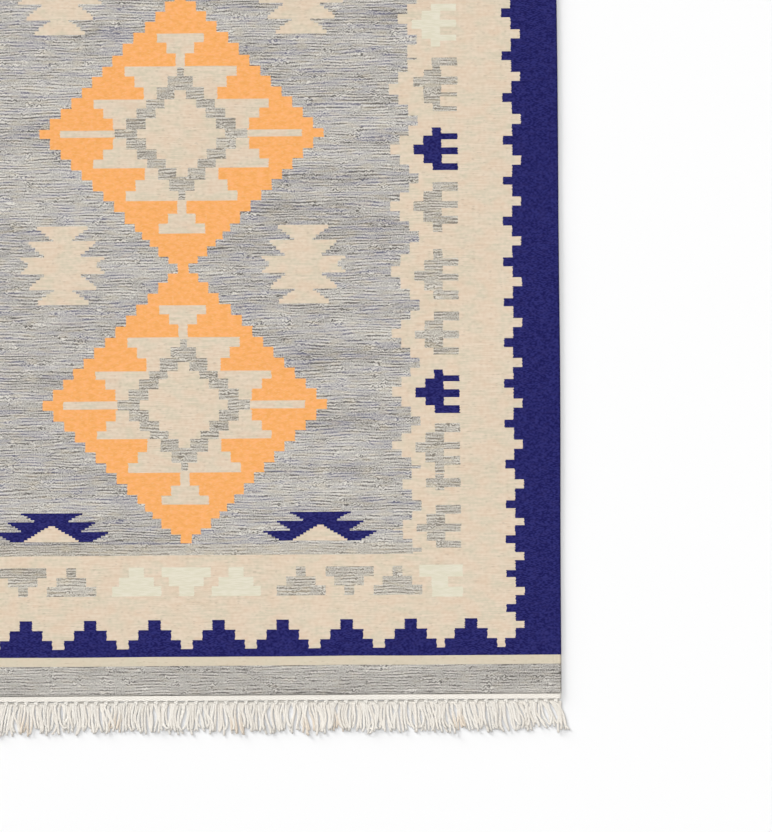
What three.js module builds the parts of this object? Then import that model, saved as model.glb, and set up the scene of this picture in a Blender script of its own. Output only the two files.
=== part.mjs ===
// A flat-woven dhurrie rug of about 4 by 6 feet, lying flat on the floor.
// Millimetres, +Z up. The origin is on the floor under the middle of the rug.
// +Y runs along the warps (the rug's length) and +X along the wefts (its width).
// Five pieces: the woven panel, and at each end of it a plain cotton heading and
// a comb of knotted warp-end tassels. The far end is the near end turned half round.

import * as THREE from "three";

// Woven panel
const PANEL_WIDTH = 1220;
const PANEL_LENGTH = 1830;
const PANEL_THICKNESS = 5;
const PANEL_EDGE_ROUND = 1.4;
const SIDE_STEPS = 56; // points along each selvedge

// Each selvedge bows out and in a little, as a hand-beaten weave does.
const SELVEDGE_WAVES = [
  { height: 1.5, waveLength: 2200, crestAt: -380 },
  { height: 0.35, waveLength: 510, crestAt: 90 },
];

// Cotton heading: the last few rows of white cotton that lock the wool in place
const HEADING_DEPTH = 9; // along the warps
const HEADING_THICKNESS = 4;
const HEADING_EDGE_ROUND = 0.9;

// Fringe comb: a row of knots, and the warp ends below them as flat tassels
const TASSEL_COUNT = 75;
const KNOT_ROW_DEPTH = 4; // along the warps
const TASSEL_LENGTH = 46;
const TASSEL_LENGTH_SPREAD = 3.5; // longer or shorter by up to this
const FRINGE_THICKNESS = 3;
const TIP_SWAY = 1.1; // a tip lies this far to either side at most
const CORNER_LEAN = 15; // the last tassels lean out by this much at their tips
const LEAN_STARTS_AT = 230; // from the rug's middle line

// A tassel leaves its knot narrow and spreads towards the cut ends.
const TASSEL_SECTIONS = [
  { along: 0.0, width: 9.0 },
  { along: 0.18, width: 8.2 },
  { along: 0.6, width: 11.6 },
  { along: 0.93, width: 13.0 },
  { along: 1.0, width: 9.5 },
];

const PIECE_GAP = 0.3; // between one piece and the next

const FINISHES = {
  wool: { color: 0xe1d0bb, roughness: 0.95, metalness: 0 },
  heading: { color: 0xf1ece0, roughness: 0.9, metalness: 0 },
  fringe: { color: 0xe9e1d2, roughness: 0.9, metalness: 0 },
};

function piece(name, geometry, finish) {
  const mesh = new THREE.Mesh(geometry, new THREE.MeshStandardMaterial(FINISHES[finish]));
  mesh.name = name;
  return mesh;
}

// A flat sheet standing on the floor, with its upper and lower edges rounded.
function roundedSheet(outline, thickness, edgeRound) {
  const geometry = new THREE.ExtrudeGeometry(outline, {
    depth: thickness - 2 * edgeRound,
    bevelEnabled: true,
    bevelThickness: edgeRound,
    bevelSize: edgeRound,
    bevelOffset: -edgeRound,
    bevelSegments: 2,
  });
  geometry.translate(0, 0, edgeRound);
  return geometry;
}

// How far the right selvedge stands out of its straight line at a given y.
function selvedgeBow(y) {
  return SELVEDGE_WAVES.reduce(
    (bow, wave) =>
      bow + wave.height * Math.cos((2 * Math.PI * (y - wave.crestAt)) / wave.waveLength),
    0,
  );
}

// The left selvedge is the right one turned half round, so both ends match.
function panelOutline() {
  const right = [];
  for (let step = 0; step <= SIDE_STEPS; step += 1) {
    const y = PANEL_LENGTH * (step / SIDE_STEPS - 0.5);
    right.push(new THREE.Vector2(PANEL_WIDTH / 2 + selvedgeBow(y), y));
  }
  const left = right.map((point) => new THREE.Vector2(-point.x, -point.y));
  return new THREE.Shape([...right, ...left]);
}

function headingOutline() {
  const halfWidth = PANEL_WIDTH / 2;
  const top = -PANEL_LENGTH / 2 - PIECE_GAP;
  const bottom = top - HEADING_DEPTH;
  return new THREE.Shape([
    new THREE.Vector2(-halfWidth, bottom),
    new THREE.Vector2(halfWidth, bottom),
    new THREE.Vector2(halfWidth, top),
    new THREE.Vector2(-halfWidth, top),
  ]);
}

// A repeatable scatter from -1 to 1 for one tassel.
function scatter(index, salt) {
  const wave = Math.sin(index * 12.9898 + salt * 78.233) * 43758.5453;
  return 2 * (wave - Math.floor(wave)) - 1;
}

// Tassels hang straight in the middle of the end and lean outwards at the corners.
function lean(x) {
  const reach = PANEL_WIDTH / 2 - LEAN_STARTS_AT;
  const outward = THREE.MathUtils.clamp((Math.abs(x) - LEAN_STARTS_AT) / reach, 0, 1);
  return Math.sign(x) * CORNER_LEAN * outward;
}

// One tassel's outline, down its left side and up its right side.
function tasselOutline(index, rootY) {
  const pitch = PANEL_WIDTH / TASSEL_COUNT;
  const rootX = -PANEL_WIDTH / 2 + pitch * (index + 0.5);
  const length = TASSEL_LENGTH + TASSEL_LENGTH_SPREAD * scatter(index, 1);
  const tipShift = lean(rootX) + TIP_SWAY * scatter(index, 2);
  const side = (direction) =>
    TASSEL_SECTIONS.map(
      (section) =>
        new THREE.Vector2(
          rootX + tipShift * section.along + (direction * section.width) / 2,
          rootY - length * section.along,
        ),
    );
  return [...side(-1), ...side(1).reverse()];
}

function fringeOutline() {
  const halfWidth = PANEL_WIDTH / 2;
  const top = -PANEL_LENGTH / 2 - 2 * PIECE_GAP - HEADING_DEPTH;
  const rootY = top - KNOT_ROW_DEPTH;
  const points = [new THREE.Vector2(-halfWidth, top), new THREE.Vector2(-halfWidth, rootY)];
  for (let index = 0; index < TASSEL_COUNT; index += 1) {
    points.push(...tasselOutline(index, rootY));
  }
  points.push(new THREE.Vector2(halfWidth, rootY), new THREE.Vector2(halfWidth, top));
  return new THREE.Shape(points);
}

// Heading and fringe of one end, built at the near end (-Y).
function rugEnd(endName) {
  const end = new THREE.Group();
  const heading = roundedSheet(headingOutline(), HEADING_THICKNESS, HEADING_EDGE_ROUND);
  const fringe = new THREE.ExtrudeGeometry(fringeOutline(), {
    depth: FRINGE_THICKNESS,
    bevelEnabled: false,
  });
  end.add(piece(`heading_${endName}`, heading, "heading"));
  end.add(piece(`fringe_${endName}`, fringe, "fringe"));
  return end;
}

const rug = new THREE.Group();
rug.add(piece("woven_panel", roundedSheet(panelOutline(), PANEL_THICKNESS, PANEL_EDGE_ROUND), "wool"));

const nearEnd = rugEnd("near");
const farEnd = rugEnd("far");
farEnd.rotation.z = Math.PI;
rug.add(nearEnd, farEnd);

export default rug;
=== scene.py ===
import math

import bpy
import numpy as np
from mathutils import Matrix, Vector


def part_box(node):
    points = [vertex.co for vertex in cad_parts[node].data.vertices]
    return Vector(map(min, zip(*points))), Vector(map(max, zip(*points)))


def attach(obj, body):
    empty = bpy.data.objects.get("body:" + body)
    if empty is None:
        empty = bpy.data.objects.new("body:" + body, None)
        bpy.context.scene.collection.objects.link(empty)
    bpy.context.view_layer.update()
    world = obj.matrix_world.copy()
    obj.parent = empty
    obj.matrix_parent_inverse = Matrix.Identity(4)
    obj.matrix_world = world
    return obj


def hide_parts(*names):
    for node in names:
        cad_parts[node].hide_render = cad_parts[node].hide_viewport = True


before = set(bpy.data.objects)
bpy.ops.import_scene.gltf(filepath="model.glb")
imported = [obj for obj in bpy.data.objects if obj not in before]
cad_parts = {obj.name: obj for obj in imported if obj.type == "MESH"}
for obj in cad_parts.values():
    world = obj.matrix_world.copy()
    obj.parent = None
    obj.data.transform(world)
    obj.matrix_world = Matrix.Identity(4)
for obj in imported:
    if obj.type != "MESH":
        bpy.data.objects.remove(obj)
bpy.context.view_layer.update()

# A flat-woven wool dhurrie of about 4 by 6 feet, seen from straight above.
# The woven panel, its two cotton headings and its two knotted fringes each
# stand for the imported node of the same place. Lengths below are millimetres
# in the rug's frame, x across the rug and y along it, unless a name says so;
# meshes are built in metres.

MM = 0.001


def in_millimetres(box):
    """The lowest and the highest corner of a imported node's box."""
    return [np.array(corner) / MM for corner in box]


PANEL_HIGH = in_millimetres(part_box("woven_panel"))[1]
HEADING_LOW, HEADING_HIGH = in_millimetres(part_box("heading_near"))
FRINGE_HIGH = in_millimetres(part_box("fringe_near"))[1]

# Woven panel: the selvedges bow out and in a little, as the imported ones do
HALF_WIDTH = HEADING_HIGH[0]
HALF_LENGTH, THICKNESS = PANEL_HIGH[1:]
SELVEDGE_WAVES = (
    {"height": 1.5, "wave_length": 2200, "crest_at": -380},
    {"height": 0.35, "wave_length": 510, "crest_at": 90},
)
EDGE_ROUND = 2.4
SELVEDGE_CORDS = 3
SELVEDGE_CORD_WIDTH = 6.0
SELVEDGE_CORD_HEIGHT = 0.35
SURFACE_STEP = 8.0  # between mesh columns and rows away from the edges
SIDE_MARGIN_STEPS = (0.15, 0.45, 0.8, 1.0, 1.2, *[1.6] * 10)  # between those at a selvedge
END_MARGIN_STEPS = (0.15, 0.45, 0.8, 1.0, 1.6, 3.0)  # and at an end
TOP_CLEARANCE = 0.2  # the wool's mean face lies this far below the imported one

# Weave
PICK = 1.62  # from one weft row to the next
WARP_PITCH = 2.85
WEAVE_RELIEF = 0.4
EDGE_JITTER = 1.5  # how unevenly the wefts of two colours meet
ROW_WANDER = 0.45  # how far a weft row strays from its straight line
WARP_SWAY = 1.2  # how far a warp strays sideways

# Fringe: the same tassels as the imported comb
FRINGE_TOP = FRINGE_HIGH[1]  # the y of its edge beside the heading
TASSEL_COUNT = 75
KNOT_ROW_DEPTH = 4
TASSEL_LENGTH = 46
TASSEL_LENGTH_SPREAD = 3.5
TIP_SWAY = 1.1
CORNER_LEAN = 15
LEAN_STARTS_AT = 230


# ---------------------------------------------------------------------------
# Numbers that change over the surface
# ---------------------------------------------------------------------------


class Signal:
    """A number worked out by shader nodes, with Python's own signs for the sums."""

    def __init__(self, tree, socket):
        self.tree = tree
        self.socket = socket

    def math(self, operation, *others):
        node = self.tree.nodes.new("ShaderNodeMath")
        node.operation = operation
        for slot, value in enumerate((self, *others)):
            feed(self.tree, node.inputs[slot], value)
        return Signal(self.tree, node.outputs[0])

    def __add__(self, other):
        return self.math("ADD", other)

    __radd__ = __add__

    def __sub__(self, other):
        return self.math("SUBTRACT", other)

    def __rsub__(self, other):
        return (self * -1) + other

    def __mul__(self, other):
        return self.math("MULTIPLY", other)

    __rmul__ = __mul__

    def __truediv__(self, other):
        return self.math("DIVIDE", other)

    def __abs__(self):
        return self.math("ABSOLUTE")

    def __lt__(self, other):
        return self.math("LESS_THAN", other)

    def __gt__(self, other):
        return self.math("GREATER_THAN", other)

    def __and__(self, other):
        return self.math("MULTIPLY", other)

    def __or__(self, other):
        return self.math("MAXIMUM", other)

    def floor(self):
        return self.math("FLOOR")

    def fract(self):
        return self.math("FRACT")

    def sign(self):
        return self.math("SIGN")

    def cosine(self):
        return self.math("COSINE")

    def power(self, exponent):
        return self.math("POWER", exponent)

    def between(self, low, high):
        return (self > low) & (self < high)

    def is_number(self, number):
        return self.math("COMPARE", number, 0.5)

    def ease(self, low, high):
        """0 below low, 1 above high and a smooth rise between them."""
        node = self.tree.nodes.new("ShaderNodeMapRange")
        node.interpolation_type = "SMOOTHSTEP"
        feed(self.tree, node.inputs["Value"], self)
        node.inputs["From Min"].default_value = low
        node.inputs["From Max"].default_value = high
        return Signal(self.tree, node.outputs["Result"])


def feed(tree, socket, value):
    if isinstance(value, Signal):
        tree.links.new(value.socket, socket)
    else:
        socket.default_value = value


def new_material(name, **settings):
    """A node material; settings are values of the shader's own sockets."""
    material = bpy.data.materials.new(name)
    material.use_nodes = True
    shader = material.node_tree.nodes["Principled BSDF"]
    for socket, value in settings.items():
        shader.inputs[socket.replace("_", " ")].default_value = value
    return material, shader


def object_place(tree):
    """The place on the piece, as Signals x, y and z in millimetres."""
    coordinates = tree.nodes.new("ShaderNodeTexCoord")
    split = tree.nodes.new("ShaderNodeSeparateXYZ")
    tree.links.new(coordinates.outputs["Object"], split.inputs[0])
    return [Signal(tree, split.outputs[axis]) / MM for axis in range(3)]


def noise(x, y, detail=0):
    """Smooth noise about 0.5 that changes once for each whole step of x and y."""
    tree = x.tree
    join = tree.nodes.new("ShaderNodeCombineXYZ")
    feed(tree, join.inputs[0], x)
    feed(tree, join.inputs[1], y)
    node = tree.nodes.new("ShaderNodeTexNoise")
    node.noise_dimensions = "2D"
    node.inputs["Scale"].default_value = 1
    node.inputs["Detail"].default_value = detail
    tree.links.new(join.outputs[0], node.inputs["Vector"])
    return Signal(tree, node.outputs["Fac"])


def row_chance(row, salt):
    """A number from 0 to 1 drawn afresh for each weft row."""
    node = row.tree.nodes.new("ShaderNodeTexWhiteNoise")
    node.noise_dimensions = "1D"
    feed(row.tree, node.inputs["W"], row + salt)
    return Signal(row.tree, node.outputs["Value"])


def mix(low, high, share):
    return (high - low) * share + low


def mixed_colour(tree, below, above, share):
    """One colour laid over another; each is a colour or a colour socket."""
    node = tree.nodes.new("ShaderNodeMix")
    node.data_type = "RGBA"
    feed(tree, node.inputs["Factor"], share)
    for socket, value in ((node.inputs[6], below), (node.inputs[7], above)):
        if isinstance(value, tuple):
            socket.default_value = (*value, 1)
        else:
            tree.links.new(value, socket)
    return node.outputs[2]


def paint(yarn, mask, colour_number):
    """The yarn number becomes colour_number where the mask is 1."""
    return mix(yarn, colour_number, mask)


# ---------------------------------------------------------------------------
# Charts: a table of rows is read by a stepped colour ramp
# ---------------------------------------------------------------------------

# Blender's ramps change at 255ths of their length, so a stepped chart that starts
# at 0 and ends at 255 is read by whole millimetres, one that ends at half of that by halves
RAMP_STEPS = 255
RAMP_ROWS = 30  # a ramp holds up to 32


def ramp(place, rows, end, stepped):
    """One ramp: the four values of the row that holds place, or those between two rows."""
    tree = place.tree
    start = rows[0][0]
    span = end - start
    scale = max(1, *(abs(value) for row in rows for value in row[1:]))
    node = tree.nodes.new("ShaderNodeValToRGB")
    elements = node.color_ramp.elements
    node.color_ramp.interpolation = "CONSTANT" if stepped else "LINEAR"
    elements.remove(elements[1])
    for number, (at, *values) in enumerate(rows):
        position = (at - start) / span
        if stepped:
            position = (round(position * RAMP_STEPS) - 0.5) / RAMP_STEPS
        position = max(0, position)
        element = elements[0] if number == 0 else elements.new(position)
        element.position = position
        padded = (*values, 0, 0, 0)[:4]
        element.color = [0.5 + value / scale / 2 for value in padded]
    feed(tree, node.inputs[0], (place - start) / span)
    split = tree.nodes.new("ShaderNodeSeparateColor")
    tree.links.new(node.outputs["Color"], split.inputs[0])
    sockets = (*split.outputs, node.outputs["Alpha"])
    wanted = len(rows[0]) - 1
    return [(Signal(tree, socket) - 0.5) * (2 * scale) for socket in sockets[:wanted]]


def chart(place, rows, end, stepped=True):
    """Reads a table whose rows are (start, value, ...), in rising order, up to end."""
    parts = [rows[first : first + RAMP_ROWS] for first in range(0, len(rows), RAMP_ROWS)]
    found = None
    for number, part in enumerate(parts):
        last = number == len(parts) - 1
        part_end = end if last else parts[number + 1][0][0]
        if not stepped and not last:
            part = [*part, parts[number + 1][0]]
        values = ramp(place, part, part_end, stepped)
        if found is None:
            found = values
        else:
            past = place > part[0][0]
            found = [mix(old, new, past) for old, new in zip(found, values)]
    return found


# ---------------------------------------------------------------------------
# The rug's pattern, charted in millimetres by its steps
# ---------------------------------------------------------------------------

SAND, BEIGE, ORANGE, BLUE, MINT, GREY, WARM_GREY, DARK_GREY, PALE_GREY = range(9)

FIELD_HALF_LENGTH = 685.7
FIELD_FOOT = 669  # from here on the field is woven in a paler grey
MIDDLE_RACK = 0.0043  # the warps lean by this much along the rug's middle line
EDGE_RACK = 0.0022  # and by this much at its selvedges
PATTERN_SHIFT = (-1.2, -0.8)  # of the field's middle from the rug's middle
BORDER_SHIFT = -0.8  # of the border's middle line

# Diamonds on the middle line
DIAMOND_PITCH = 441.5
DIAMOND_TIP = 667
DIAMOND_HALF_WIDTH = 231
DIAMOND_STEP_WIDTH = 17.1
DIAMOND_STEP_HEIGHT = 17.0
DIAMOND_EVEN_STEPS = 9
NEAR_TIP_ROWS = (
    # from the diamond's middle line, half width: finer steps towards the near tip
    (146, 78),
    (160, 66),
    (173, 54),
    (184, 40),
    (200, 24),
    (211, 9),
)
FAR_TIP_ROWS = (
    # the same for the far tip, which is stepped nearly as evenly as the rest
    (146, 77),
    (164, 58),
    (182, 41),
    (199, 25),
    (214, 9),
)
DIAMOND_FIGURE_SHIFT = -1.1  # of the figure within the diamonds
DIAMOND_FIGURE_ROWS = (
    # from the diamond's middle line, half widths of the beige tiers, ring and core
    (0, 196.5, 108, 72),
    (6.5, 108, 108, 72),
    (8.5, 111, 89.5, 57.5),
    (25.5, 127, 72.5, 41),
    (42.5, 142.5, 56, 26),
    (56, 60, 38.5, 9.5),
    (70.5, 60, 38.5, 0),
    (76.5, 75, 20.5, 0),
    (93.5, 91, 5.5, 0),
    (107.5, 91, 0, 0),
    (110.5, 7.5, 0, 0),
    (129.5, 22.5, 0, 0),
    (147, 38, 0, 0),
    (161.5, 0, 0, 0),
)

# Eight-pointed stars beside the diamonds' meeting points
STAR_X = 196
STAR_Y = 219.35
STAR_SHIFT = 5.85
STAR_ROWS = (
    # from the star's middle line, half width
    (0, 56),
    (5, 62),
    (9, 68),
    (14, 30),
    (19, 37),
    (24, 43.5),
    (29, 50),
    (34, 54),
    (39.5, 15),
    (43, 21),
    (47, 27),
    (52, 34),
    (57, 41),
    (64, 0),
)

# Winged figures beside the outer tips
WINGS_X = 218.5
WINGS_TOP = 615.7
WINGS_ROW = 3.2
WINGS_ROWS = 15
WINGS_TIERS = (
    # first row, half width at its top, narrowing for each row
    (0, 50, 5.5),
    (5, 71, 5.5),
    (10, 92.5, 6.2),
)
WINGS_HOLLOW_FROM = 7
WINGS_HOLLOW_STEP = 5.5

# The field's stepped side: columns of one step width, turning at these places.
# The weaver's turns are uneven in the near part and taken as even in the far one.
SIDE_FIRST_COLUMN = 338
SIDE_COLUMN_WIDTH = 15.3
NEAR_SIDE_TURNS = (
    # y, column
    (-690, 2.4),
    (-677, 2.6),
    (-647, 0.4),
    (-608, 3.1),
    (-573, 1),
    (-544, 2.7),
    (-510, 0),
    (-471, 3),
    (-422, 0),
    (-375, 3),
    (-327, 0),
    (-283, 3),
    (-227, 0),
    (-170, 3),
    (-121, 0),
    (-75, 3),
    (-29, 0),
    (19, 3),
    (69, 0),
    (119, 2.6),
    (132, 2),
    (150, 3),
    (184, 1),
    (216, 3),
)
FAR_SIDE_FROM = 262
FAR_SIDE_PITCH = 93.6  # from one jut of the beige ground to the next
FAR_SIDE_DEPTH = 3  # columns

# Comb figures of the side band, their tips pointing at the field.
# Each figure's rows: from (height above the tip's middle), left x, right x.
SIDE_BAND_END = 690
FIGURE_ROOM = 100  # of height for each figure in the shared chart
HOOKED, LONG, EVEN, TALL, SMALL = range(5)
FIGURES = {
    HOOKED: (
        (-34, 407, 448),
        (-21, 392, 422),
        (-8, 376, 448),
        (4.5, 376, 422),
        (8, 392, 422),
        (16.5, 392, 448),
        (23, 407, 448),
        (27, 407, 422),
        (37, 0, 0),
    ),
    LONG: (
        (-38.5, 407, 448),
        (-24, 392, 422),
        (-8, 376, 448),
        (3.6, 376, 422),
        (8, 392, 422),
        (15.2, 392, 448),
        (24.5, 407, 448),
        (28.5, 407, 422),
        (41.5, 0, 0),
    ),
    EVEN: (
        (-33.5, 407, 448),
        (-20.5, 392, 422),
        (-7.5, 376, 448),
        (7, 392, 422),
        (23, 407, 448),
        (37, 0, 0),
    ),
    TALL: (
        (-47, 409, 448),
        (-38.5, 409, 421),
        (-34, 395, 421),
        (-22, 394, 448),
        (-17, 394, 423),
        (-6, 378, 423),
        (-3, 378, 449),
        (9, 395, 423),
        (21, 409, 421),
        (27, 408, 449),
        (41, 0, 0),
    ),
    SMALL: (
        (-12.6, 407, 421),
        (-7.8, 392, 448),
        (7, 407, 421),
        (13.6, 0, 0),
    ),
}
NEAR_SIDE_FIGURES = (
    # from y, tip y, figure, 1 as charted or -1 upside down, yarn
    (-690, -644, EVEN, 1, WARM_GREY),
    (-597, -570, SMALL, 1, WARM_GREY),
    (-557, -512.5, LONG, -1, WARM_GREY),
    (-465, -423, HOOKED, 1, BLUE),
    (-375, -330, EVEN, 1, WARM_GREY),
    (-280, -233.5, LONG, 1, WARM_GREY),
    (-172, -121, LONG, -1, WARM_GREY),
    (-75, -29, HOOKED, 1, BLUE),
    (20, 80, TALL, 1, WARM_GREY),
    (130, 175, HOOKED, -1, MINT),
)
FAR_SIDE_FIGURES = (
    # one to each jut: figure, 1 as charted or -1 upside down, yarn
    (EVEN, 1, WARM_GREY),
    (HOOKED, -1, BLUE),
    (LONG, 1, WARM_GREY),
    (LONG, -1, WARM_GREY),
    (EVEN, 1, WARM_GREY),
)

# Stepped triangles of the end bands
TRIANGLES_FROM = 706.3
TRIANGLE_ROW = 15.5
TRIANGLE_STEP = 16.1  # in half width
TRIANGLE_TIP = 7.8
MINT_TIP_EXTRA = 4.5  # mint triangles end in a wider block
END_TRIANGLES = (
    # from x, middle x, 1 with its tip towards the rug's middle or -1 away, yarn;
    # the last one's middle is off the rug, so that none shows
    (0, 0, -1, MINT),
    (39.5, 81, 1, MINT),
    (132, 187, 1, WARM_GREY),
    (229, 265.3, -1, WARM_GREY),
    (303.5, 343.7, 1, WARM_GREY),
    (385, 1200, 1, WARM_GREY),
)
CORNER_BLOCKS = (
    # from x, to x, from y, to y
    (379, 450, 705.5, 723.5),
    (399, 426, 723.5, 740),
    (400, 450, 740, 757),
)

# Toothed blue border
SIDE_TEETH = (
    # y, tooth number
    (-832, -1),
    (-608, 3),
    (-15, 12),
    (192, 15),
    (773.5, 24),
    (832, 25),
)
SIDE_TOOTH_TIP_X = 521
SIDE_TOOTH_STEP_X = 536
SIDE_NOTCH_X = 550.5
SIDE_TOOTH_HALF = 0.105  # of the way from one tooth to the next
SIDE_NOTCH_FROM = 0.39
END_TOOTH_PITCH = 104.3
END_LAST_TOOTH_X = 463.5
END_LAST_TOOTH_FROM = 4 * END_TOOTH_PITCH - 2  # x, past the evenly spaced teeth
END_TOOTH_ROWS = (
    # from y, half width
    (793.7, 10.2),
    (809, 26.7),
    (824, 42.6),
    (839, 60),
    (852, 0),
)
CORNER_STEPS = (
    # from y, from x
    (809, 536),
    (824, 519),
    (839, 0),
)
BORDER_END = 851.5
SAND_STRIPE_END = 867.5


def diamond_outline(tip_rows):
    """Rows outwards from the diamond's middle line: its half width."""
    rows = []
    for step in range(DIAMOND_EVEN_STEPS):
        start = max(0, DIAMOND_STEP_HEIGHT * (step - 0.5))
        rows.append((start, DIAMOND_HALF_WIDTH - DIAMOND_STEP_WIDTH * step))
    return [*rows, *tip_rows]


def wings_rows():
    """Rows down the winged figure: half width and half width of its hollow."""
    rows = []
    for row in range(WINGS_ROWS):
        first, width, narrowing = [tier for tier in WINGS_TIERS if tier[0] <= row][-1]
        outer = width - narrowing * (row - first)
        hollow = WINGS_HOLLOW_STEP * max(0, row - WINGS_HOLLOW_FROM + 1)
        rows.append((row * WINGS_ROW, outer, hollow))
    rows.append((WINGS_ROWS * WINGS_ROW, 0, 0))
    return rows


def figure_rows():
    """All comb figures in one chart, each in its own room of heights."""
    rows = []
    for figure, figure_chart in FIGURES.items():
        middle = FIGURE_ROOM * (figure + 0.5)
        rows.append((FIGURE_ROOM * figure, 0, 0))
        rows += [(middle + height, left, right) for height, left, right in figure_chart]
    return rows


def side_turns():
    """The near part's turns, then even ones, in and out, up to the far end."""
    rows = list(NEAR_SIDE_TURNS)
    for jut in range(len(FAR_SIDE_FIGURES)):
        y = FAR_SIDE_FROM + FAR_SIDE_PITCH * jut
        rows += [(y, 0), (y + FAR_SIDE_PITCH / 2, FAR_SIDE_DEPTH)]
    return rows


def side_figures():
    """The near part's figures, then one at the tip of each jut."""
    rows = list(NEAR_SIDE_FIGURES)
    for jut, figure in enumerate(FAR_SIDE_FIGURES):
        tip = FAR_SIDE_FROM + FAR_SIDE_PITCH * jut
        rows.append((tip - FAR_SIDE_PITCH / 2, tip, *figure))
    return rows


def field_mask(side, y):
    (column,) = chart(y, side_turns(), FIELD_HALF_LENGTH + 5, stepped=False)
    column = (column + 0.5).floor()
    edge = column * SIDE_COLUMN_WIDTH + SIDE_FIRST_COLUMN
    return (side < edge) & (abs(y) < FIELD_HALF_LENGTH)


def paint_diamonds(yarn, across, y):
    nearest = (y / DIAMOND_PITCH + 0.5).floor() * DIAMOND_PITCH
    out = abs(y - nearest)
    (near_outline,) = chart(out, diamond_outline(NEAR_TIP_ROWS), RAMP_STEPS)
    (far_outline,) = chart(out, diamond_outline(FAR_TIP_ROWS), RAMP_STEPS)
    outline = mix(near_outline, far_outline, y > nearest)
    tiers, ring, core = chart(out, DIAMOND_FIGURE_ROWS, RAMP_STEPS)
    here = abs(y) < DIAMOND_TIP
    yarn = paint(yarn, (abs(across) < outline) & here, ORANGE)
    side = abs(across - DIAMOND_FIGURE_SHIFT)
    yarn = paint(yarn, (side < tiers) & here, BEIGE)
    yarn = paint(yarn, (side < ring) & here, WARM_GREY)
    return paint(yarn, (side < core) & here, BEIGE)


def paint_stars(yarn, side, y):
    out = abs(abs(y - STAR_SHIFT) - STAR_Y)
    (half_width,) = chart(out, STAR_ROWS, RAMP_STEPS / 2)
    return paint(yarn, abs(side - STAR_X) < half_width, BEIGE)


def paint_wings(yarn, side, y):
    down = abs(y) - WINGS_TOP
    outer, hollow = chart(down, wings_rows(), RAMP_STEPS * 0.4)
    across = abs(side - WINGS_X)
    here = down > 0
    yarn = paint(yarn, (across < outer) & here, BLUE)
    return paint(yarn, (across < hollow) & here, BEIGE)


def paint_side_figures(yarn, side, y):
    tip, figure, hand, colour = chart(y, side_figures(), SIDE_BAND_END)
    height = (y - tip) * hand.sign()
    room = (figure + 0.5).floor() * FIGURE_ROOM + FIGURE_ROOM / 2
    inside = abs(height) < FIGURE_ROOM / 2 - 1
    left, right = chart(height + room, figure_rows(), FIGURE_ROOM * len(FIGURES))
    mask = (side > left) & (side < right) & inside & (abs(y) < FIELD_HALF_LENGTH)
    return paint(yarn, mask, colour)


def paint_end_band(yarn, side, y):
    middle, hand, colour = chart(side, END_TRIANGLES, RAMP_STEPS * 2)
    down = (abs(y) - TRIANGLES_FROM) / TRIANGLE_ROW
    row = down.floor()
    steps = mix(2 - row, row, hand > 0)
    half_width = steps * TRIANGLE_STEP + TRIANGLE_TIP
    half_width = half_width + colour.is_number(MINT) * (steps < 1.5) * MINT_TIP_EXTRA
    mask = (abs(side - middle) < half_width) & down.between(0, 3)
    yarn = paint(yarn, mask, colour)
    for x_from, x_to, y_from, y_to in CORNER_BLOCKS:
        block = side.between(x_from, x_to) & abs(y).between(y_from, y_to)
        yarn = paint(yarn, block, MINT)
    return yarn


def border_mask(side, y):
    """The blue border with its stepped teeth, and the step across each corner."""
    teeth_end = SIDE_TEETH[-1][0] + 0.001  # just past the last row
    (tooth,) = chart(y, SIDE_TEETH, teeth_end, stepped=False)
    off_tooth = abs((tooth + 0.5).fract() - 0.5)
    edge = mix(SIDE_TOOTH_TIP_X, SIDE_TOOTH_STEP_X, off_tooth > SIDE_TOOTH_HALF)
    edge = mix(edge, SIDE_NOTCH_X, off_tooth > SIDE_NOTCH_FROM)
    mask = side > edge
    (half_width,) = chart(abs(y), ((0, 0), *END_TOOTH_ROWS), RAMP_STEPS * 4)
    middle = ((side / END_TOOTH_PITCH).floor() + 0.5) * END_TOOTH_PITCH
    middle = mix(middle, END_LAST_TOOTH_X, side > END_LAST_TOOTH_FROM)
    mask = mask | ((abs(side - middle) < half_width) & (side < SIDE_TOOTH_TIP_X))
    for y_from, x_from in CORNER_STEPS:
        mask = mask | ((abs(y) > y_from) & (side > x_from))
    return mask & (abs(y) < BORDER_END)


def yarn_numbers(x, y):
    """Which yarn shows at each place of the rug."""
    rack = mix(MIDDLE_RACK, EDGE_RACK, abs(x) / HALF_WIDTH)
    across = x + y * rack - PATTERN_SHIFT[0]
    side = abs(across)
    border_side = abs(x + y * EDGE_RACK - BORDER_SHIFT)
    end_y = y
    y = y - PATTERN_SHIFT[1]
    field_grey = paint(GREY, abs(y) > FIELD_FOOT, PALE_GREY)
    yarn = paint(BEIGE, field_mask(side, y), field_grey)
    yarn = paint_stars(yarn, side, y)
    yarn = paint_diamonds(yarn, across, y)
    yarn = paint_wings(yarn, side, y)
    yarn = paint_side_figures(yarn, side, y)
    yarn = paint_end_band(yarn, side, end_y)
    yarn = paint(yarn, border_mask(border_side, end_y), BLUE)
    yarn = paint(yarn, abs(end_y) > BORDER_END, SAND)
    return paint(yarn, abs(end_y) > SAND_STRIPE_END, DARK_GREY)


# ---------------------------------------------------------------------------
# Materials
# ---------------------------------------------------------------------------

LIGHT_GAIN = 1.11  # what the studio light adds to a colour, taken off again here


def linear(*rgb, gain=LIGHT_GAIN):
    """A dyed colour as seen, from 0 to 255, as the shader's own value."""
    return tuple(((value / 255 + 0.055) / 1.055) ** 2.4 / gain for value in rgb)


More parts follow.
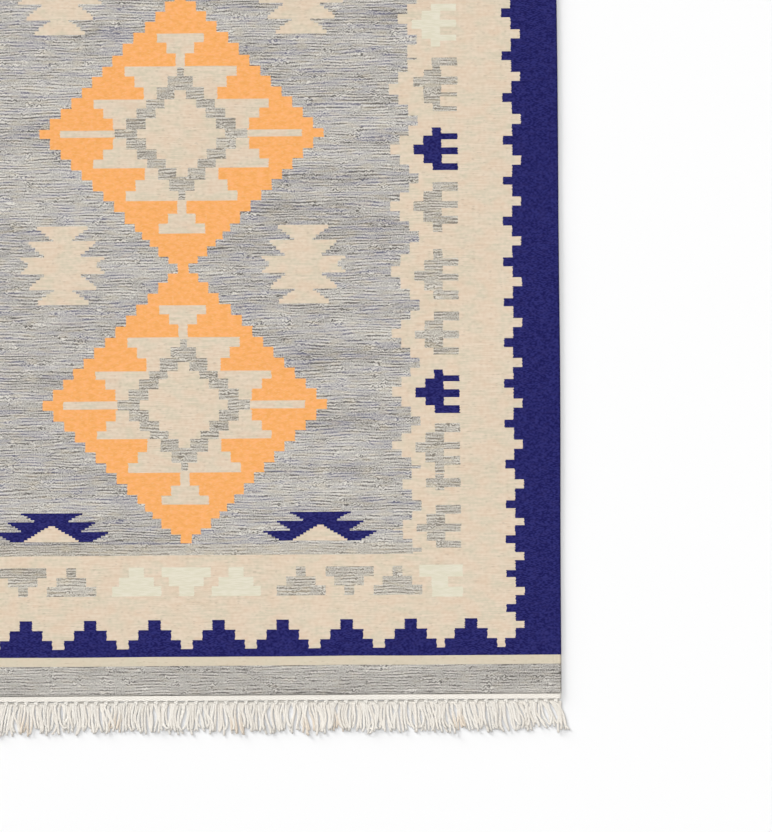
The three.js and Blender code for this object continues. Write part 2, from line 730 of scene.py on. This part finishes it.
def grey_heather(x, y, row, yarn):
    """Two-tone grey wool: thin dark lines beside pale ones, wandering in places.

    The figures are of a warmer batch, the end stripes of a darker and the foot of the
    field of a paler one.
    """
    tree = x.tree
    loose = noise(x / 30 + 3, y / 20).ease(0.5, 0.7)
    wander = (noise(x / 5, y / 4.5) - 0.5) * (loose * 5.5 + 1.2)
    line = (y + wander + (noise(x / 75, y / 24) - 0.5) * 7) / (3 * PICK)
    ridge = (line * (2 * math.pi)).cosine()
    strength = noise(x / 20, line.floor() * 7.31).ease(0.34, 0.66)
    streak = noise(x / 24, row * 3.73 + 50) - 0.5
    fine = noise(x / 1.9, y / 2.2) - 0.5
    patch = noise(x / 60 + 20, y / 22) - 0.5
    shade = ridge * (strength * 0.5 + 0.08) + streak * 0.5 + fine * 1.0 + patch * 0.2
    band = noise(x / 400, y / 34 + 7) - 0.5
    warmer = yarn.is_number(WARM_GREY)
    darker = yarn.is_number(DARK_GREY)
    paler = yarn.is_number(PALE_GREY)
    contrast = 1 + warmer * 0.15 - darker * 0.2 - paler * 0.1
    level = 0.52 - warmer * 0.055 - darker * 0.04 + paler * 0.04
    shade = (shade + band * 0.42) * contrast + level
    cool = noise(x / 70 + 70, y / 8 + 30).ease(0.45, 0.68) * yarn.is_number(GREY)
    dark = mixed_colour(tree, linear(105, 101, 97), linear(97, 96, 115), cool)
    tone = mixed_colour(tree, dark, linear(184, 180, 174), shade.ease(-0.15, 0.6))
    tone = mixed_colour(tree, tone, linear(226, 222, 214), shade.ease(0.5, 1.15))
    tone = mixed_colour(tree, tone, linear(166, 165, 183), cool * 0.2)
    warm_patch = noise(x / 26 + 170, y / 6 + 130).ease(0.56, 0.75)
    warm = warm_patch * (0.25 - darker * 0.13) + (warmer + paler) * 0.2
    return mixed_colour(tree, tone, linear(206, 193, 168), warm)


def beige_wool(x, y, row, yarn):
    tree = x.tree
    patch = noise(x / 34 + 9, y / 22, detail=1).ease(0.3, 0.7)
    tone = mixed_colour(tree, linear(223, 200, 175), linear(213, 202, 178), patch)
    band = noise(x / 26, row * 2.9 + 11) - 0.5
    grain = noise(x / 6, y / 5) - 0.5
    lighter = (band * 0.9 + grain * 0.6 + 0.45).ease(0, 1)
    tone = mixed_colour(tree, tone, linear(232, 215, 194), lighter)
    tone = mixed_colour(tree, tone, linear(214, 205, 183), yarn.is_number(SAND) * 0.6)
    fleck = noise(x / 9, row * 4.3 + 31).ease(0.72, 0.9) * 0.35
    return mixed_colour(tree, tone, linear(178, 158, 136), fleck)


def orange_wool(x, y, row):
    tree = x.tree
    patch = noise(x / 12 + 41, y / 6, detail=1).ease(0.25, 0.75)
    tone = mixed_colour(tree, linear(245, 171, 95), linear(254, 181, 119), patch)
    streak = noise(x / 6, row * 3.1 + 23).ease(0.3, 0.75)
    tone = mixed_colour(tree, tone, linear(251, 177, 102), streak * 0.7)
    pale = noise(x / 5 + 90, y / 2.5 + 60).ease(0.55, 0.8) * 0.4
    return mixed_colour(tree, tone, linear(251, 192, 138), pale)


def blue_wool(x, y, row):
    tree = x.tree
    grain = noise(x / 4.6, row * 3.3 + 13).ease(0.25, 0.8)
    tone = mixed_colour(tree, linear(22, 21, 84), linear(45, 46, 113), grain)
    patch = noise(x / 16 + 3, y / 5).ease(0.42, 0.75) * 0.22
    return mixed_colour(tree, tone, linear(58, 54, 116), patch)


def mint_wool(x, y, row):
    tree = x.tree
    band = noise(x / 15, row * 2.7 + 5).ease(0.3, 0.75)
    return mixed_colour(tree, linear(224, 218, 195), linear(231, 225, 206), band)


YARN_LOOKS = {
    ORANGE: orange_wool,
    BLUE: blue_wool,
    MINT: mint_wool,
}


def wool_weave_material():
    material, shader = new_material(
        "wool_weave", Roughness=0.93, Specular_IOR_Level=0.12, Sheen_Weight=0.04
    )
    tree = material.node_tree
    x, y, _ = object_place(tree)
    straight = y + (noise(x / 110, y / 60) - 0.5) * (2 * ROW_WANDER)
    row = (straight / PICK).floor()
    row_y = (row + 0.5) * PICK
    jitter = (row_chance(row, 3) - 0.5) * EDGE_JITTER
    sway = (noise(x / 150 + 5, y / 110) - 0.5) * (2 * WARP_SWAY)
    yarn = yarn_numbers(x + jitter + sway, row_y)
    colour = beige_wool(x, y, row, yarn)
    for number, look in YARN_LOOKS.items():
        colour = mixed_colour(tree, colour, look(x, y, row), yarn.is_number(number))
    grey = grey_heather(x, y, row, yarn)
    colour = mixed_colour(tree, colour, grey, yarn > GREY - 0.5)
    tree.links.new(colour, shader.inputs["Base Color"])

    over_warp = (x / (2 * WARP_PITCH) + row * 0.5).fract() - 0.5
    hump = 1 - (over_warp * 2).power(2)
    across_row = (straight / PICK).fract() - 0.5
    height = (1 - (across_row * 2).power(2)) * (hump * 0.45 + 0.55)
    bump = tree.nodes.new("ShaderNodeBump")
    bump.inputs["Strength"].default_value = 0.35
    bump.inputs["Distance"].default_value = WEAVE_RELIEF * MM
    feed(tree, bump.inputs["Height"], height)
    tree.links.new(bump.outputs[0], shader.inputs["Normal"])
    return material


def mesh_number(tree, name):
    """A number that the mesh holds at each of its points."""
    node = tree.nodes.new("ShaderNodeAttribute")
    node.attribute_name = name
    return Signal(tree, node.outputs["Fac"])


COTTON_GAIN = 1.03  # what the light adds to the rounded cotton yarns, taken off too
FIBRE_SOFTNESS = 0.7  # how evenly the loose fibres of the fringe take light from above


def softened_normal(tree):
    """The surface's normal turned upwards, as light spreads between loose fibres."""
    surface = tree.nodes.new("ShaderNodeNewGeometry")
    shorter = tree.nodes.new("ShaderNodeVectorMath")
    shorter.operation = "SCALE"
    shorter.inputs["Scale"].default_value = 1 - FIBRE_SOFTNESS
    tree.links.new(surface.outputs["Normal"], shorter.inputs[0])
    raised = tree.nodes.new("ShaderNodeVectorMath")
    raised.operation = "ADD"
    raised.inputs[1].default_value = (0, 0, FIBRE_SOFTNESS)
    tree.links.new(shorter.outputs[0], raised.inputs[0])
    unit = tree.nodes.new("ShaderNodeVectorMath")
    unit.operation = "NORMALIZE"
    tree.links.new(raised.outputs[0], unit.inputs[0])
    return unit.outputs[0]


def cotton_material(name, light, shadow, warm, dark, loose=False):
    """Natural cotton, tinted and shaded from yarn to yarn by the mesh's own numbers."""
    material, shader = new_material(name, Roughness=0.9, Specular_IOR_Level=0.1)
    tree = material.node_tree
    if loose:
        tree.links.new(softened_normal(tree), shader.inputs["Normal"])
    x, y, _ = object_place(tree)
    grain = noise(x / 1.3, y / 2.2, detail=1).ease(0.25, 0.75)
    shadow, light, warm, dark = (
        linear(*colour, gain=COTTON_GAIN) for colour in (shadow, light, warm, dark)
    )
    colour = mixed_colour(tree, shadow, light, grain)
    colour = mixed_colour(tree, colour, warm, mesh_number(tree, "tint"))
    # shade number: yarns darker a little at random; the cord between knots as painted shade
    colour = mixed_colour(tree, colour, dark, mesh_number(tree, "shade"))
    tree.links.new(colour, shader.inputs["Base Color"])
    return material


# ---------------------------------------------------------------------------
# Meshes
# ---------------------------------------------------------------------------


def new_piece(name, vertices, faces, material, tints=None):
    mesh = bpy.data.meshes.new(name)
    mesh.from_pydata((np.asarray(vertices) * MM).tolist(), [], faces)
    mesh.polygons.foreach_set("use_smooth", [True] * len(mesh.polygons))
    for number, values in (tints or {}).items():
        attribute = mesh.attributes.new(number, "FLOAT", "POINT")
        attribute.data.foreach_set("value", values)
    mesh.materials.append(material)
    piece = bpy.data.objects.new(name, mesh)
    bpy.context.scene.collection.objects.link(piece)
    return piece


def selvedge_bow(y):
    """How far the right selvedge stands out of its straight line."""
    bow = np.zeros_like(y)
    for wave in SELVEDGE_WAVES:
        turn = 2 * np.pi * (y - wave["crest_at"]) / wave["wave_length"]
        bow += wave["height"] * np.cos(turn)
    return bow


def stations(half, margin_steps, step):
    """Places from -half to half, close together at both margins."""
    margin = np.cumsum([0, *margin_steps])
    inner = half - margin[-1]
    count = int(round(2 * inner / step))
    middle = np.linspace(-inner, inner, count + 1)[1:-1]
    return np.concatenate([margin - half, middle, (half - margin)[::-1]])


def edge_rise(distance):
    """0 at the panel's edge and 1 past its rounding, along a quarter circle."""
    inward = np.clip(distance / EDGE_ROUND, 0, 1)
    return np.sqrt(1 - (1 - inward) ** 2)


def unevenness(x, y):
    """The slight swell of a weave that was beaten by hand."""
    return (
        0.16 * np.sin(x / 61 + 1.3 * np.sin(y / 140))
        + 0.14 * np.sin(y / 47 + 0.9 * np.sin(x / 95))
        + 0.10 * np.sin((x + y) / 29)
    )


def build_panel(material):
    across = stations(HALF_WIDTH, SIDE_MARGIN_STEPS, SURFACE_STEP)
    along = stations(HALF_LENGTH, END_MARGIN_STEPS, SURFACE_STEP)
    x, y = np.meshgrid(across, along)
    from_side = HALF_WIDTH - np.abs(x)
    from_end = HALF_LENGTH - np.abs(y)
    rise = edge_rise(from_side) * edge_rise(from_end)
    cord_zone = SELVEDGE_CORDS * SELVEDGE_CORD_WIDTH
    cord = np.abs(np.sin(np.pi * from_side / SELVEDGE_CORD_WIDTH))
    cords = np.where(from_side < cord_zone, (cord - 0.5) * SELVEDGE_CORD_HEIGHT, 0)
    x = x * (HALF_WIDTH + np.where(x > 0, selvedge_bow(y), selvedge_bow(-y))) / HALF_WIDTH
    half = THICKNESS / 2
    top = half + (half - TOP_CLEARANCE + cords + unevenness(x, y)) * rise
    under = half - half * rise

    rows, columns = x.shape
    top_index = np.arange(rows * columns).reshape(rows, columns)
    under_index = top_index.copy()
    inner = np.zeros_like(top_index, bool)
    inner[1:-1, 1:-1] = True
    under_index[inner] = rows * columns + np.arange(inner.sum())
    top_points = np.stack([x, y, top], -1).reshape(-1, 3)
    under_points = np.stack([x[inner], y[inner], under[inner]], -1)

    def quads(index):
        corners = (index[:-1, :-1], index[:-1, 1:], index[1:, 1:], index[1:, :-1])
        return np.stack(corners, -1).reshape(-1, 4)

    faces = [*quads(top_index).tolist(), *quads(under_index)[:, ::-1].tolist()]
    panel = new_piece(
        "woven_panel_wool", np.concatenate([top_points, under_points]), faces, material
    )
    lay_flat_map(panel.data)
    return panel


def lay_flat_map(mesh):
    """One flat map for both faces, since each colour goes right through the cloth."""
    count = len(mesh.loops)
    corner = np.empty(count, np.int32)
    mesh.loops.foreach_get("vertex_index", corner)
    places = np.empty(len(mesh.vertices) * 3, np.float32)
    mesh.vertices.foreach_get("co", places)
    places = places.reshape(-1, 3)[corner, :2]
    low, high = places.min(0), places.max(0)
    layer = mesh.uv_layers.new(name="OFBake")
    layer.uv.foreach_set("vector", ((places - low) / (high - low)).ravel())


def joined_rings(rings, closed_path=False):
    """Vertices and faces of a tube through rings of equal count, its ends capped."""
    rings = np.asarray(rings)
    count, sides = rings.shape[:2]
    index = np.arange(count * sides).reshape(count, sides)
    ahead = np.roll(index, -1, 0) if closed_path else index[1:]
    here = index if closed_path else index[:-1]
    faces = np.stack(
        [here, np.roll(here, -1, 1), np.roll(ahead, -1, 1), ahead], -1
    ).reshape(-1, 4)
    faces = faces.tolist()
    if not closed_path:
        faces += [index[0][::-1].tolist(), index[-1].tolist()]
    return rings.reshape(-1, 3), faces


HEADING_WEFTS = 5
HEADING_COLUMNS = 860
WEFT_PLACES = (0.08, 0.3, 0.7, 0.92)  # of the way across one weft
WEFT_RELIEF = 0.55  # from the groove between two wefts to their crowns
HEADING_ROUND = 1.4  # how far in from its long edges the top is rounded
HEADING_DROP = 0.9  # by that rounding, at the very edge
HEADING_FOOT = 1.2  # how far the underside stands back from the edges
HEADING_SIDE = 0.45  # of its height, where it is widest
END_SLIVER = 0.02  # keeps the end faces from closing to a line


def heading_top(x, y):
    """The height of a heading's top at a place on it."""
    low, high = HEADING_LOW[1], HEADING_HIGH[1]
    weft, place = divmod((y - low) * HEADING_WEFTS / (high - low), 1)
    crown = 1 - (2 * place - 1) ** 2
    over = math.cos(math.pi * (x / (2 * WARP_PITCH) + weft))
    edge = min(y - low, high - y) / HEADING_ROUND
    drop = HEADING_DROP * (1 - min(1, edge)) ** 2
    return HEADING_HIGH[2] - WEFT_RELIEF + crown * WEFT_RELIEF * (0.8 + 0.3 * over) - drop


def heading_section(x):
    """The outline of a heading at one place along it, as places y and z."""
    low, high, height = HEADING_LOW[1], HEADING_HIGH[1], HEADING_HIGH[2]
    places = [weft + place for weft in range(HEADING_WEFTS) for place in WEFT_PLACES]
    top = [low + (high - low) / HEADING_WEFTS * place for place in places]
    side = height * HEADING_SIDE
    return [
        (low + HEADING_FOOT, 0.0),
        (low, side),
        *[(y, heading_top(x, y)) for y in top],
        (high, side),
        (high - HEADING_FOOT, 0.0),
    ]


def build_heading(name, material, turned):
    """Thick cotton wefts side by side, passing over and under the warps."""
    middle = HEADING_HIGH[2] / 2
    rings = []
    for x in np.linspace(HEADING_LOW[0], HEADING_HIGH[0], HEADING_COLUMNS):
        end = edge_rise(HALF_WIDTH - abs(x) + END_SLIVER)
        ring = [(x, y, middle + (z - middle) * end) for y, z in heading_section(x)]
        rings.append(ring[::-1])
    vertices, faces = joined_rings(rings)
    if turned:
        vertices = vertices * (-1, -1, 1)
    return new_piece(name, vertices, faces, material)


def scatter(index, salt):
    """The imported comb's own scatter, from -1 to 1 for one tassel."""
    wave = math.sin(index * 12.9898 + salt * 78.233) * 43758.5453
    return 2 * (wave - math.floor(wave)) - 1


def lean(x):
    """How far a tassel's end stands aside of its knot: outwards near the corners."""
    outward = min(1, max(0, (abs(x) - LEAN_STARTS_AT) / (HALF_WIDTH - LEAN_STARTS_AT)))
    return math.copysign(CORNER_LEAN * outward, x)


YARN_ENDS = 5  # in one tassel, in two layers
YARN_STEPS = 15
STEPS = np.linspace(0, 1, YARN_STEPS)  # of the way along a yarn
ROOT_HALF_WIDTH = 6.7  # of a tassel, just below its knot
TIP_HALF_WIDTH = 9.2
PLIES = 3  # twisted together in one yarn
PLY_RADIUS = 1.3
PLY_FLATNESS = 0.42
PLY_SIDES = 5
PLY_TURN = 24
PLY_REACH = (1.0, 0.22)  # sideways and upwards from the middle of its yarn
LAYER_LIFT = 0.3  # of the upper layer over the lower one
ROOT_LIFT = 0.7  # of a yarn where it leaves its knot
YARN_SLACK = 1.03  # a yarn's length over the tassel's
YARN_CLEARANCE = 0.05  # of its lowest ply from the floor
TIP_LIFTS = (0.1, 2.6)  # how far a yarn's cut end rises, for most of them a little
TIP_TAPER = 0.35  # how much thinner a ply is at its cut end
TAPER_FROM, TAPER_RUN = 0.8, 0.2  # of the way along a yarn
TIP_SCATTER = 0.8  # of the cut ends, sideways
CURLS = (0.1, 0.6, 1.8)  # by which a yarn's last third may turn aside, in radians
CURL_SHARES = (0.6, 0.36, 0.04)
CURL_FROM, CURL_RUN = 0.66, 0.34  # of the way along a yarn
SHARED_WAVE = {"heights": (0.05, 0.3), "turns": (0.5, 0.9)}  # of a whole tassel
OWN_WAVE = {"heights": (0.03, 0.2), "turns": (0.6, 1.3)}  # of one yarn
WARM_SHARE = 0.07  # of the tassels are of a warmer cotton towards their ends
CROSSED_SHARE = 0.3  # of the tassels have yarns that cross
KNOT_STEPS = 24
KNOT_YARN_RADIUS = 1.3
KNOT_LOOP = 0.95
KNOT_HEIGHT = 2.2
ROOT_IN_KNOT = 0.6  # how far a yarn starts inside its knot
TWINE_RADIUS = 1.7  # of the cord between the knots, darkened there as painted shade
TWINE_FLATNESS = 0.6
TWINE_STEPS = 400
TWINE_INSET = 3  # its ends stop within the outer knots
TWINE_BACK = 0.4  # how far it lies from the knots' middle line
TWINE_CLEARANCE = 0.2  # of it from the floor


def path_sides(path):
    """Unit vectors to the side of a path and upwards from it."""
    ahead = np.gradient(path, axis=0)
    ahead /= np.linalg.norm(ahead, axis=1)[:, None]
    sideways = np.cross(ahead, (0, 0, 1))
    sideways /= np.linalg.norm(sideways, axis=1)[:, None]
    return sideways, np.cross(sideways, ahead)


def tube_rings(path, radius, sides, flatness=1):
    """Rings of a tube along a path, one radius for each of its points."""
    sideways, upwards = path_sides(path)
    around = np.linspace(0, 2 * np.pi, sides, endpoint=False)
    out = sideways[:, None] * np.cos(around)[None, :, None]
    out = out + upwards[:, None] * (flatness * np.sin(around))[None, :, None]
    return path[:, None] + out * radius[:, None, None]


def ply_path(path, phase):
    """One ply of a yarn, turning round the yarn's path."""
    sideways, upwards = path_sides(path)
    run = np.concatenate([[0], np.cumsum(np.linalg.norm(np.diff(path, axis=0), axis=1))])
    turn = 2 * np.pi * (run[:, None] / PLY_TURN + phase)
    aside, above = PLY_REACH
    return path + sideways * np.cos(turn) * aside + upwards * np.sin(turn) * above


def limp_wave(wave, draw):
    """The angle by which a limp yarn strays from its heading, step by step."""
    height = draw.uniform(*wave["heights"])
    turns = draw.uniform(*wave["turns"])
    phase = draw.uniform()
    return height * np.sin(2 * np.pi * (turns * STEPS + phase))


def yarn_path(start, end, length, wave, layer, tip_lift, draw):
    """A limp plied yarn from its knot to its cut end, lying on the floor."""
    heading = math.atan2(end - start, length)
    curl = draw.choice([-1, 1]) * draw.choice(CURLS, p=CURL_SHARES)
    angle = heading + wave + curl * np.clip((STEPS - CURL_FROM) / CURL_RUN, 0, 1) ** 2
    pace = length * YARN_SLACK / (YARN_STEPS - 1)
    x = start + np.concatenate([[0], np.cumsum(np.sin(angle[1:]) * pace)])
    down = np.concatenate([[0], np.cumsum(np.cos(angle[1:]) * pace)])
    rest = PLY_RADIUS * PLY_FLATNESS + PLY_REACH[1] + YARN_CLEARANCE
    lift = (layer * LAYER_LIFT + draw.uniform(0, 0.3)) * np.minimum(1, STEPS * 4)
    z = rest + ROOT_LIFT * (1 - STEPS) ** 3 + lift + tip_lift * STEPS**2
    return np.stack([x, -down, z], 1)


def knot_path(x, y, draw):
    """A flattened overhand knot round the foot of a tassel."""
    turn = np.linspace(0, 2 * np.pi, KNOT_STEPS, endpoint=False)
    across = KNOT_LOOP * (np.sin(turn) + 2 * np.sin(2 * turn)) * draw.uniform(0.85, 1.15)
    along = KNOT_LOOP * (np.cos(turn) - 2 * np.cos(2 * turn))
    up = KNOT_HEIGHT - 0.6 * np.sin(3 * turn)
    tilt = draw.uniform(-0.3, 0.3)
    turned_x = x + across * math.cos(tilt) - along * math.sin(tilt)
    turned_y = y + across * math.sin(tilt) + along * math.cos(tilt)
    return np.stack([turned_x, turned_y, up], 1)


def twine_path(y, phase):
    """The cord that runs through the knots, swaying a little."""
    x = np.linspace(TWINE_INSET - HALF_WIDTH, HALF_WIDTH - TWINE_INSET, TWINE_STEPS)
    sway = 0.35 * np.sin(x / 17 + phase) + 0.25 * np.sin(x / 7.3)
    height = TWINE_RADIUS * TWINE_FLATNESS + TWINE_CLEARANCE
    return np.stack([x, y + sway, np.full_like(x, height)], 1)


class Yarns:
    """Tubes gathered into one mesh, each with its own two tints."""

    def __init__(self):
        self.vertices, self.faces, self.tints, self.shades = [], [], [], []
        self.total = 0

    def add(self, rings, tint, shade, closed_path=False):
        """tint and shade are one number for each ring."""
        points, faces = joined_rings(rings, closed_path)
        sides = np.asarray(rings).shape[1]
        self.vertices.append(points)
        self.faces.extend([[corner + self.total for corner in face] for face in faces])
        self.tints.append(np.clip(np.repeat(tint, sides), 0, 1))
        self.shades.append(np.clip(np.repeat(shade, sides), 0, 1))
        self.total += len(points)


def add_twine(yarns, y, seed):
    twine = twine_path(y, seed)
    rings = tube_rings(twine, np.full(TWINE_STEPS, TWINE_RADIUS), 6, TWINE_FLATNESS)
    # painted shade: the cord is darkened unevenly to stand in for the shade between knots
    painted_shade = 0.28 + 0.2 * np.sin(twine[:, 0] / 31 + seed) * np.sin(twine[:, 0] / 12.1)
    yarns.add(rings, np.zeros(TWINE_STEPS), painted_shade)


def add_knot(yarns, x, y, draw):
    radius = np.full(KNOT_STEPS, KNOT_YARN_RADIUS)
    none = np.zeros(KNOT_STEPS)
    rings = tube_rings(knot_path(x, y, draw), radius, 5, flatness=0.7)
    yarns.add(rings, none, none, closed_path=True)


def add_tassel(yarns, x, y, length, shift, draw):
    """The yarns of one tassel, from x and y of its knot; shift is that of its cut end."""
    warm = draw.uniform() < WARM_SHARE
    reach = draw.uniform(0.9, 1.15) * TIP_HALF_WIDTH
    crossed = draw.uniform() < CROSSED_SHARE
    shared_wave = limp_wave(SHARED_WAVE, draw)
    places = np.linspace(-1, 1, YARN_ENDS)
    ends = draw.permutation(places) if crossed else places
    for number, place in enumerate(places):
        start = x + place * ROOT_HALF_WIDTH
        end = x + ends[number] * reach + shift + draw.normal(0, TIP_SCATTER)
        own_length = length * draw.uniform(0.9, 1.08)
        tip_lift = TIP_LIFTS[0] + (TIP_LIFTS[1] - TIP_LIFTS[0]) * draw.uniform() ** 3
        wave = shared_wave + limp_wave(OWN_WAVE, draw)
        path = yarn_path(start, end, own_length, wave, number % 2, tip_lift, draw)
        path[:, 1] += y
        tint = draw.uniform(0, 0.15) + (0.5 if warm else 0) * np.clip(STEPS * 2 - 0.5, 0, 1)
        shade = np.full(YARN_STEPS, draw.uniform(0, 0.12))
        twist = draw.uniform()
        taper = TIP_TAPER * np.clip((STEPS - TAPER_FROM) / TAPER_RUN, 0, 1)
        radius = PLY_RADIUS * (1 - taper)
        for ply in range(PLIES):
            ply_middle = ply_path(path, twist + ply / PLIES)
            yarns.add(tube_rings(ply_middle, radius, PLY_SIDES, PLY_FLATNESS), tint, shade)


def build_fringe(name, material, turned, seed):
    """The cord darkened as painted shade, every tassel's knot and its yarns, in one mesh.
    """
    draw = np.random.default_rng(seed)
    pitch = 2 * HALF_WIDTH / TASSEL_COUNT
    knot_y = FRINGE_TOP - KNOT_ROW_DEPTH / 2
    root_y = FRINGE_TOP - KNOT_ROW_DEPTH + ROOT_IN_KNOT
    yarns = Yarns()
    add_twine(yarns, knot_y - TWINE_BACK, seed)
    for index in range(TASSEL_COUNT):
        x = -HALF_WIDTH + pitch * (index + 0.5)
        length = TASSEL_LENGTH + TASSEL_LENGTH_SPREAD * scatter(index, 1)
        shift = lean(x) + TIP_SWAY * scatter(index, 2)
        add_knot(yarns, x, knot_y, draw)
        add_tassel(yarns, x, root_y, length, shift, draw)
    vertices = np.concatenate(yarns.vertices)
    if turned:
        vertices = vertices * (-1, -1, 1)
    tints = {"tint": np.concatenate(yarns.tints), "shade": np.concatenate(yarns.shades)}
    return new_piece(name, vertices, yarns.faces, material, tints)


# ---------------------------------------------------------------------------
# Pieces
# ---------------------------------------------------------------------------

wool = wool_weave_material()
heading_cotton = cotton_material(
    "heading_cotton",
    light=(242, 238, 230),
    shadow=(231, 225, 215),
    warm=(224, 206, 182),
    dark=(150, 140, 125),
)
fringe_cotton = cotton_material(
    "fringe_cotton",
    light=(245, 241, 233),
    shadow=(237, 232, 223),
    warm=(230, 209, 184),
    # dark is also the painted shade of the cord between the knots
    dark=(140, 130, 116),
    loose=True,
)

panel = build_panel(wool)
headings = [
    build_heading("heading_near_cotton", heading_cotton, turned=False),
    build_heading("heading_far_cotton", heading_cotton, turned=True),
]
fringes = [
    build_fringe("fringe_near_yarn", fringe_cotton, turned=False, seed=11),
    build_fringe("fringe_far_yarn", fringe_cotton, turned=True, seed=12),
]

for piece, node, slot in (
    (panel, "woven_panel", "wool_weave"),
    (headings[0], "heading_near", "cotton_heading"),
    (headings[1], "heading_far", "cotton_heading"),
    (fringes[0], "fringe_near", "cotton_fringe"),
    (fringes[1], "fringe_far", "cotton_fringe"),
):
    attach(piece, "root")
    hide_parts(node)


# ---------------------------------------------------------------------------
# Floor, light and camera
# ---------------------------------------------------------------------------

FLOOR_SIZE = 80  # metres, as the backdrop's sizes
FLOOR_PAINT = (0.883, 0.883, 0.883, 1)
BACKDROP_RADIUS = 35
BACKDROP_HEIGHT = 12
BACKDROP_GLOW = 0.99
WORLD_LIGHT = 0.38
SUNS = (
    # name, strength, spread, azimuth and elevation in degrees
    ("high_soft", 1.375, 60, 120, 72),
    ("low_soft", 4.1, 24, 134, 14.5),
)


def build_floor():
    bpy.ops.mesh.primitive_plane_add(size=FLOOR_SIZE)
    floor = bpy.context.object
    floor.name = "floor"
    material, shader = new_material("floor_paint", Roughness=0.95, Specular_IOR_Level=0.0)
    shader.inputs["Base Color"].default_value = FLOOR_PAINT
    floor.data.materials.append(material)


def build_backdrop():
    """A pale wall far off, for low views; it neither lights the rug nor shades it."""
    bpy.ops.mesh.primitive_cylinder_add(
        vertices=96,
        radius=BACKDROP_RADIUS,
        depth=BACKDROP_HEIGHT,
        end_fill_type="NOTHING",
        location=(0, 0, BACKDROP_HEIGHT / 2),
    )
    backdrop = bpy.context.object
    backdrop.name = "backdrop"
    material, shader = new_material("backdrop_paint", Roughness=1.0, Specular_IOR_Level=0.0)
    shader.inputs["Base Color"].default_value = (0, 0, 0, 1)
    shader.inputs["Emission Color"].default_value = (1, 1, 1, 1)
    shader.inputs["Emission Strength"].default_value = BACKDROP_GLOW
    backdrop.data.materials.append(material)
    backdrop.visible_shadow = False
    backdrop.visible_diffuse = False
    backdrop.visible_glossy = False


def add_sun(name, strength, spread, azimuth, elevation):
    """Light from one side: azimuth is where it comes from, anticlockwise from +x."""
    light = bpy.data.lights.new(name, "SUN")
    light.energy = strength
    light.angle = math.radians(spread)
    sun = bpy.data.objects.new(name, light)
    tilt = math.radians(90 - elevation)
    sun.rotation_euler = (0, tilt, math.radians(azimuth))
    bpy.context.scene.collection.objects.link(sun)


def build_light():
    world = bpy.data.worlds.new("studio")
    world.use_nodes = True
    background = world.node_tree.nodes["Background"]
    background.inputs["Color"].default_value = (1, 1, 1, 1)
    background.inputs["Strength"].default_value = WORLD_LIGHT
    bpy.context.scene.world = world
    for sun in SUNS:
        add_sun(*sun)


CAMERA_X, CAMERA_Y = 328.0, -462.4  # what the middle of the picture shows
VIEW_HEIGHT = 1353  # of rug from the picture's top to its foot
CAMERA_DISTANCE = 4000
CAMERA_ROLL = -0.38  # degrees
SENSOR = 24


def build_camera():
    lens = bpy.data.cameras.new("camera")
    lens.sensor_fit = "VERTICAL"
    lens.sensor_height = SENSOR
    lens.lens = SENSOR * CAMERA_DISTANCE / VIEW_HEIGHT
    camera = bpy.data.objects.new("camera", lens)
    camera.location = (CAMERA_X * MM, CAMERA_Y * MM, (CAMERA_DISTANCE + THICKNESS) * MM)
    camera.rotation_euler = (0, 0, math.radians(CAMERA_ROLL))
    bpy.context.scene.collection.objects.link(camera)
    bpy.context.scene.camera = camera


build_floor()
build_backdrop()
build_light()
build_camera()
bpy.context.scene.view_settings.view_transform = "Standard"
